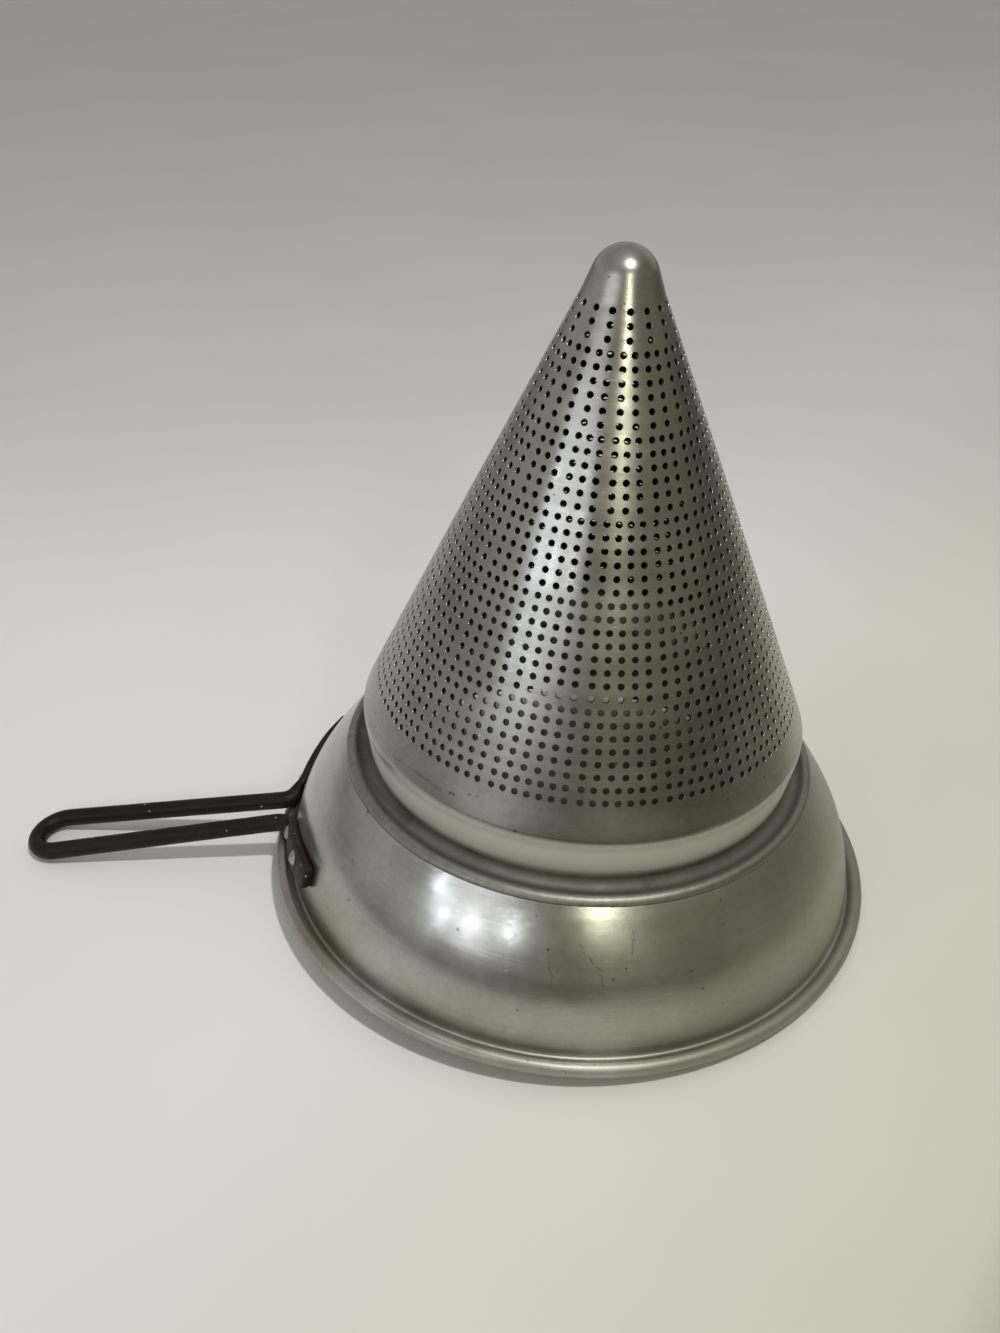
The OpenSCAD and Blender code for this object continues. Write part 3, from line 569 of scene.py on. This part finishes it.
# Loop handle
# One iron rod, 7.6 mm thick, bent to a long loop; its ends are hammered flat into straps that
# follow the bowl. It is blackened by use, with rust along the straps and worn pale specks.
ROD_D, ROD_GAP, DROOP = 7.6, 0.4, math.radians(12.4)
LOOP_LEN, LOOP_ROOT_W, LOOP_END_R = 116.5, 15.0, 11.4
ROOT_BEND_R, ROOT_TURN, ROOT_X = 6.0, 50, 3.4
STRAP_T, STRAP_W, STRAP_LIFT, STRAP_SEAT = 3.4, 12.2, 0.7, 0.12
STRAP_CLIMB, STRAP_END, STRAP_CORNER, STRAP_TAPER = math.radians(13.2), 15.2, 1.5, 2.2
STRAP_EDGE_R = 0.9
RIVET_TURN, RIVET_SPAN = math.radians(8.65), 21.0
ROD_SIDES = 28
rod_r = ROD_D / 2
rod_edge_r = rod_r / math.cos(math.radians(9))
loop_c = LOOP_LEN - LOOP_END_R
root_w = LOOP_ROOT_W / 2
loop_turn = math.degrees(math.atan2(root_w, -loop_c) - math.acos(LOOP_END_R / math.hypot(loop_c, root_w)))
rod_angle = loop_turn - 90
root_y = root_w + ROOT_X * math.tan(math.radians(rod_angle))
loop_z = RIM_H + ROD_GAP + rod_edge_r / math.cos(DROOP)
rivet_z1 = 13.0
rivet_z2 = rivet_z1 + RIVET_SPAN * math.sin(STRAP_CLIMB)


def skirt_at(z):
    return skirt_x + math.sqrt(SKIRT_R * SKIRT_R - (z - skirt_z) ** 2)


def skirt_slope(z):
    return math.asin((z - skirt_z) / SKIRT_R)


rivet_y1 = skirt_at(rivet_z1) * math.sin(RIVET_TURN)
rivet_y2 = rivet_y1 + RIVET_SPAN * math.cos(STRAP_CLIMB)


def rod_station(u, v):
    """A station of the rod in the loop's plane: centre, width's way, width, thickness, corner."""
    return (
        Vector((-curl_x - u * math.cos(DROOP), v, loop_z - u * math.sin(DROOP))),
        Vector((-math.sin(DROOP), 0, math.cos(DROOP))),
        ROD_D, ROD_D, rod_r,
    )


def strap_station(d, w, t):
    """A station of the strap, a distance along it from the first rivet."""
    narrow = STRAP_TAPER * max(0.0, d - RIVET_SPAN) / STRAP_END
    z = rivet_z1 + d * math.sin(STRAP_CLIMB) - 0.4 * narrow
    turn = math.asin((rivet_y1 + d * math.cos(STRAP_CLIMB)) / skirt_at(z))
    slope = skirt_slope(z)
    off = STRAP_SEAT + STRAP_T / 2
    r = skirt_at(z) + off * math.cos(slope)
    return (
        Vector((-r * math.cos(turn), r * math.sin(turn), z + off * math.sin(slope))),
        Vector((math.sin(slope) * math.cos(turn), -math.sin(slope) * math.sin(turn), math.cos(slope))),
        w - narrow, t, STRAP_EDGE_R,
    )


def between(a, b, way_a, way_b, f):
    """A station between two others, on a curve that leaves and meets them straight."""
    g, ease = 1 - f, f * f * (3 - 2 * f)
    length = (b[0] - a[0]).length
    p = a[0] * (1 + 2 * f) * g * g + way_a * length * f * g * g + b[0] * ease - way_b * length * f * f * g
    late = f ** 4 * (3 - 2 * f * f)
    return p, a[1].lerp(b[1], ease), a[2] + (b[2] - a[2]) * ease, a[3] + (b[3] - a[3]) * late, a[4] + (b[4] - a[4]) * late


strap_last = RIVET_SPAN + STRAP_END
tip_w = STRAP_W - 2 * STRAP_CORNER
strap_half = [strap_station(strap_last, tip_w, STRAP_T - 0.8), strap_station(strap_last - 0.4, tip_w + 0.8, STRAP_T)]
strap_start = -2.0
for i in range(37):
    d = strap_start + (strap_last - STRAP_CORNER - strap_start) * (1 - i / 36)
    strap_half.append(strap_station(d, STRAP_W - max(0, i - 32) / 5, STRAP_T))
bend_half = [rod_station(*p) for p in arc(ROOT_X, root_y + ROOT_BEND_R, ROOT_BEND_R, 270 - ROOT_TURN, 270 + rod_angle, 8)]
end_half = [rod_station(*p) for p in arc(loop_c, 0, LOOP_END_R, loop_turn, 0, 14)]
way_in = (strap_half[-1][0] - strap_half[-2][0]).normalized()
way_out = (bend_half[1][0] - bend_half[0][0]).normalized()
root_half = [between(strap_half[-1], bend_half[0], way_in, way_out, i / 10) for i in range(1, 10)]
rod_half = []
for i in range(1, 30):
    f = i / 30
    rod_half.append((bend_half[-1][0].lerp(end_half[0][0], f),) + bend_half[-1][1:])
half_run = strap_half + root_half + bend_half + rod_half + end_half
mirrored = [(Vector((p.x, -p.y, p.z)), Vector((w.x, -w.y, w.z)), a, b, c) for p, w, a, b, c in reversed(half_run[:-1])]
run = half_run + mirrored
handle_points, handle_faces = [], []
quarter = ROD_SIDES // 4
for i, (p, up, w, t, corner) in enumerate(run):
    along = (run[min(i + 1, len(run) - 1)][0] - run[max(i - 1, 0)][0]).normalized()
    across = along.cross(up).normalized()
    wide = across.cross(along)
    for q in range(4):
        side_x, side_y = (1 if q in (0, 3) else -1), (1 if q < 2 else -1)
        for k in range(quarter):
            turn = math.radians(90 * q + (k + 0.5) * 90 / quarter)
            x = side_x * (w / 2 - corner) + corner * math.cos(turn)
            y = side_y * (t / 2 - corner) + corner * math.sin(turn)
            out = (wide * x + across * y)
            spot = p + out
            # Hammer marks and forge scale: flats of a few millimetres, 0.12 mm deep.
            dent = 0.12 * noise.noise(spot * 0.16) + 0.05 * noise.noise(spot * 0.6)
            handle_points.append(tuple(spot + out.normalized() * min(dent, 0.0)))
for i in range(len(run) - 1):
    for k in range(ROD_SIDES):
        n = (k + 1) % ROD_SIDES
        a, b = i * ROD_SIDES, (i + 1) * ROD_SIDES
        handle_faces.append((a + k, b + k, b + n, a + n))
handle_faces.append(tuple(range(ROD_SIDES)))
handle_faces.append(tuple(reversed(range((len(run) - 1) * ROD_SIDES, len(run) * ROD_SIDES))))

# Blackened iron: forge scale and kitchen grease, half glossy, with rust where the strap's
# edges catch water and pale specks where the black has chipped.
black_iron, tree, shader = new_material("blackened_iron")
place = add(tree, "ShaderNodeTexCoord").outputs["Object"]
scale = add(tree, "ShaderNodeTexNoise", {"Vector": place, "Scale": 220.0, "Detail": 5.0, "Roughness": 0.65}).outputs[0]
patches = add(tree, "ShaderNodeTexNoise", {"Vector": place, "Scale": 55.0, "Detail": 4.0}).outputs[0]
black = ramp(tree, patches, [(0.3, "#100e0b"), (0.6, "#1b1813"), (0.8, "#25211a")])
# Rust sits along the upper edge of each strap, where water stands between it and the bowl.
axes = add(tree, "ShaderNodeSeparateXYZ", {0: place})
near_bowl = add(tree, "ShaderNodeMapRange", {0: axes.outputs[0], 1: -0.128, 2: -0.118, 3: 0.0, 4: 1.0}).outputs[0]
sideways = add(tree, "ShaderNodeMath", {0: axes.outputs[1]}, operation="ABSOLUTE").outputs[0]
climb = add(tree, "ShaderNodeMath", {0: sideways, 1: -math.tan(STRAP_CLIMB), 2: axes.outputs[2]}, operation="MULTIPLY_ADD").outputs[0]
edge_h = (rivet_z1 + STRAP_W / 2 - rivet_y1 * math.tan(STRAP_CLIMB)) * MM
upper = add(tree, "ShaderNodeMapRange", {0: climb, 1: edge_h - 0.0016, 2: edge_h - 0.0004, 3: 0.0, 4: 1.0}).outputs[0]
rusty = ramp(tree, patches, [(0.3, 0.35), (0.62, 1.0)])
rust_share = add(tree, "ShaderNodeMath", {0: near_bowl, 1: rusty}, operation="MULTIPLY").outputs[0]
upper = add(tree, "ShaderNodeMapRange", {0: upper, 1: 0.0, 2: 1.0, 3: 0.3, 4: 1.0}).outputs[0]
rust_share = add(tree, "ShaderNodeMath", {0: rust_share, 1: upper}, operation="MULTIPLY").outputs[0]
rusted = add(tree, "ShaderNodeMix", {0: rust_share, 6: black, 7: linear("#2a190b")}, data_type="RGBA")
chips = add(tree, "ShaderNodeTexVoronoi", {"Vector": place, "Scale": 330.0}, feature="F1")
chip = ramp(tree, chips.outputs["Distance"], [(0.1, 1.0), (0.2, 0.0)])
chip_lot = ramp(tree, add(tree, "ShaderNodeSeparateColor", {0: chips.outputs["Color"]}).outputs[0], [(0.9, 0.0), (0.93, 1.0)])
chip_share = add(tree, "ShaderNodeMath", {0: chip, 1: chip_lot}, operation="MULTIPLY").outputs[0]
chipped = add(tree, "ShaderNodeMix", {0: chip_share, 6: rusted.outputs[2], 7: linear("#a8a294")}, data_type="RGBA")
tree.links.new(chipped.outputs[2], shader.inputs["Base Color"])
shader.inputs["Specular IOR Level"].default_value = 0.22
rough = add(tree, "ShaderNodeMapRange", {0: scale, 1: 0.3, 2: 0.7, 3: 0.38, 4: 0.62}).outputs[0]
tree.links.new(rough, shader.inputs["Roughness"])
grain = add(tree, "ShaderNodeMath", {0: rust_share, 1: 0.6, 2: scale}, operation="MULTIPLY_ADD").outputs[0]
bump = add(tree, "ShaderNodeBump", {"Height": grain, "Strength": 0.5, "Distance": 0.0002})
tree.links.new(bump.outputs[0], shader.inputs["Normal"])
piece("loop_rod", handle_points, handle_faces, black_iron, "loop_handle", crease=60)

# Rivets
# Four aluminium rivets hold the straps: a domed head outside, hammered a little flat,
# a shank through strap and bowl, and a flat head inside.
RIVET_D, HEAD_D, HEAD_H, TAIL_H, PLAY = 4.0, 6.4, 1.6, 1.2, 0.1
head_r = HEAD_D / 2
dome_r = (head_r ** 2 + HEAD_H ** 2) / (2 * HEAD_H)
head_turn = math.degrees(math.asin(head_r / dome_r))
seat, tail, tail_edge = STRAP_T + STRAP_SEAT, -SHEET - PLAY, 0.3
rivet_profile = arc(0, seat + HEAD_H - dome_r, dome_r, 90, 90 - head_turn, 10) + [
    (RIVET_D / 2, seat), (RIVET_D / 2, tail), (head_r, tail), (head_r, tail - TAIL_H + tail_edge),
    (head_r - tail_edge, tail - TAIL_H), (0.0, tail - TAIL_H)]
rivet_profile[0] = (0.0, rivet_profile[0][1])
one_points, one_faces = lathe(rivet_profile, closed=False, start=0.0, count=32)
rivet_points, rivet_faces = [], []
turn2 = math.asin(rivet_y2 / skirt_at(rivet_z2))
for side in (-1, 1):
    for turn, z in ((RIVET_TURN, rivet_z1), (turn2, rivet_z2)):
        spot = (Matrix.Rotation(math.pi - side * turn, 4, "Z") @ Matrix.Translation((skirt_at(z), 0, z))
                @ Matrix.Rotation(math.pi / 2 - skirt_slope(z), 4, "Y"))
        first = len(rivet_points)
        for p in one_points:
            v = Vector(p)
            if v.z > seat + 0.1:
                v.z -= 0.25 * max(0.0, noise.noise(Vector((v.x * 0.5, v.y * 0.5, side * 3 + z))))
            rivet_points.append(tuple(spot @ v))
        rivet_faces += [[first + v for v in face] for face in one_faces]
rivet_metal = spun_aluminium("hammered_aluminium_rivet", "#cfcdc6", "#a9a69d", 0.22, 0.4)
piece("rivets", rivet_points, rivet_faces, rivet_metal, "handle_rivets")
